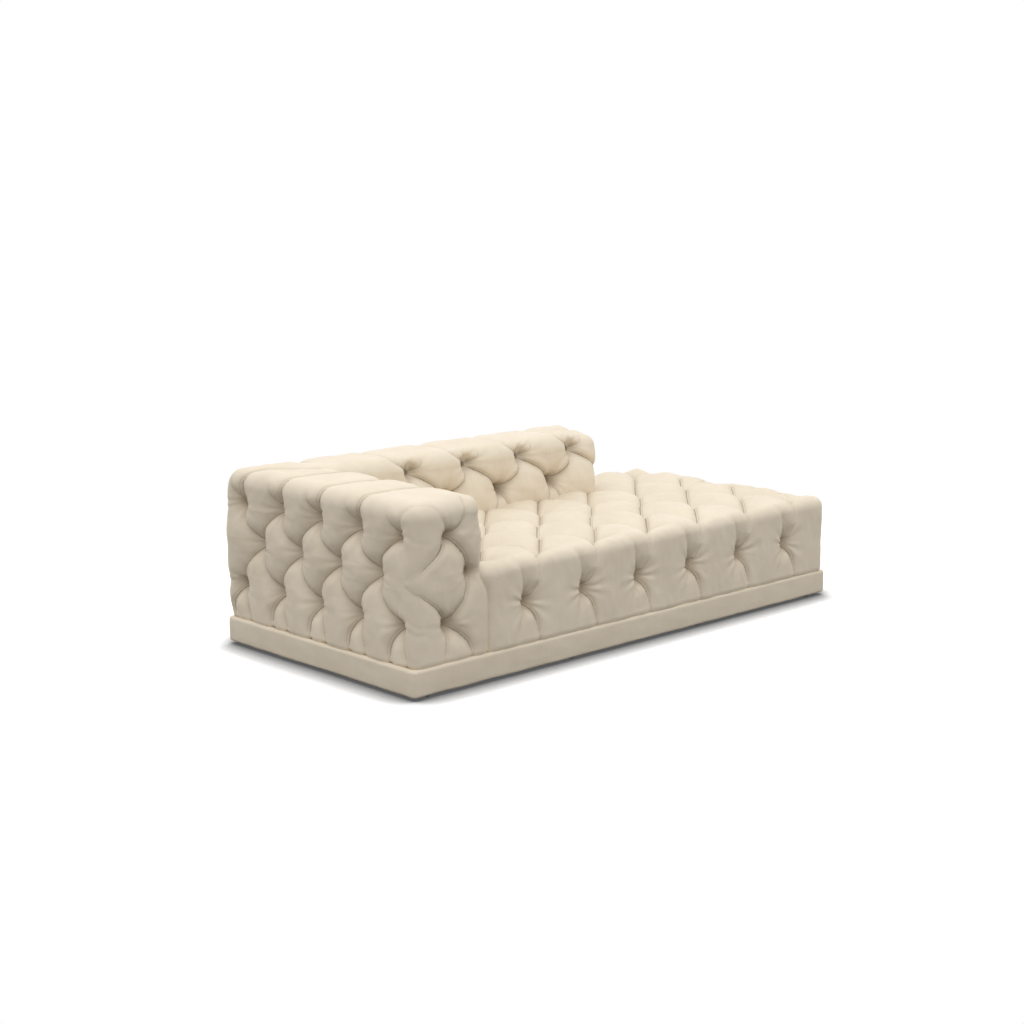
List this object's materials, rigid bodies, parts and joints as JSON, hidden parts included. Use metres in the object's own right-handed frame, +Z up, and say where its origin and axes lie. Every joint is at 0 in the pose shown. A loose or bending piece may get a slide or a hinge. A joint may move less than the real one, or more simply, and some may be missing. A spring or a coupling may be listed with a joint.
{
  "type": "chaise longue",
  "caption": "Low tufted chaise longue with a back across one end, a side arm and an open padded seat on an upholstered plinth.",
  "frame": {"origin": "on the floor, below the middle of the plinth's outline", "axes": "+X from the head end with the back to the foot end, +Y from the open front to the rear with the arm, +Z up"},
  "size_m": [2.2, 1.04, 0.654],
  "materials": {
    "leather": "smooth matt cream leather with fine grain",
    "timber": "planed hardwood",
    "plywood": "sanded birch plywood",
    "steel": "zinc plated",
    "tie_nylon": "natural nylon",
    "glide": "moulded black",
    "dust_cloth": "black spunbond cloth"
  },
  "bodies": {
    "root": {"arm_bolts": "steel", "arm_bottom_rail": "timber", "arm_end_pad": "leather", "arm_inner_pad": "leather", "arm_inner_panel": "plywood", "arm_outer_pad": "leather", "arm_outer_panel": "plywood", "arm_posts": "timber", "arm_top_rail": "timber", "arm_tuft_ties": "tie_nylon", "back_bolts": "steel", "back_bottom_rail": "timber", "back_end_pad": "leather", "back_inner_pad": "leather", "back_inner_panel": "plywood", "back_outer_pad": "leather", "back_outer_panel": "plywood", "back_posts": "timber", "back_top_rail": "timber", "back_tuft_ties": "tie_nylon", "base_bolts": "steel", "base_corner_blocks": "timber", "base_corner_screws": "steel", "base_cross_rails": "timber", "base_rail_foot": "timber", "base_rail_front": "timber", "base_rail_head": "timber", "base_rail_rear": "timber", "dust_cover": "dust_cloth", "foot_border_pad": "leather", "front_border_pad": "leather", "glide_screws": "steel", "glides": "glide", "plinth_band_foot": "leather", "plinth_band_front": "leather", "plinth_band_head": "leather", "plinth_band_rear": "leather", "plinth_corner_blocks": "timber", "plinth_corner_screws": "steel", "plinth_cross_rails": "timber", "plinth_rail_foot": "timber", "plinth_rail_front": "timber", "plinth_rail_head": "timber", "plinth_rail_rear": "timber", "rear_border_pad": "leather", "seat_board": "plywood", "seat_pad": "leather", "seat_tuft_ties": "tie_nylon"}
  },
  "joints": []
}
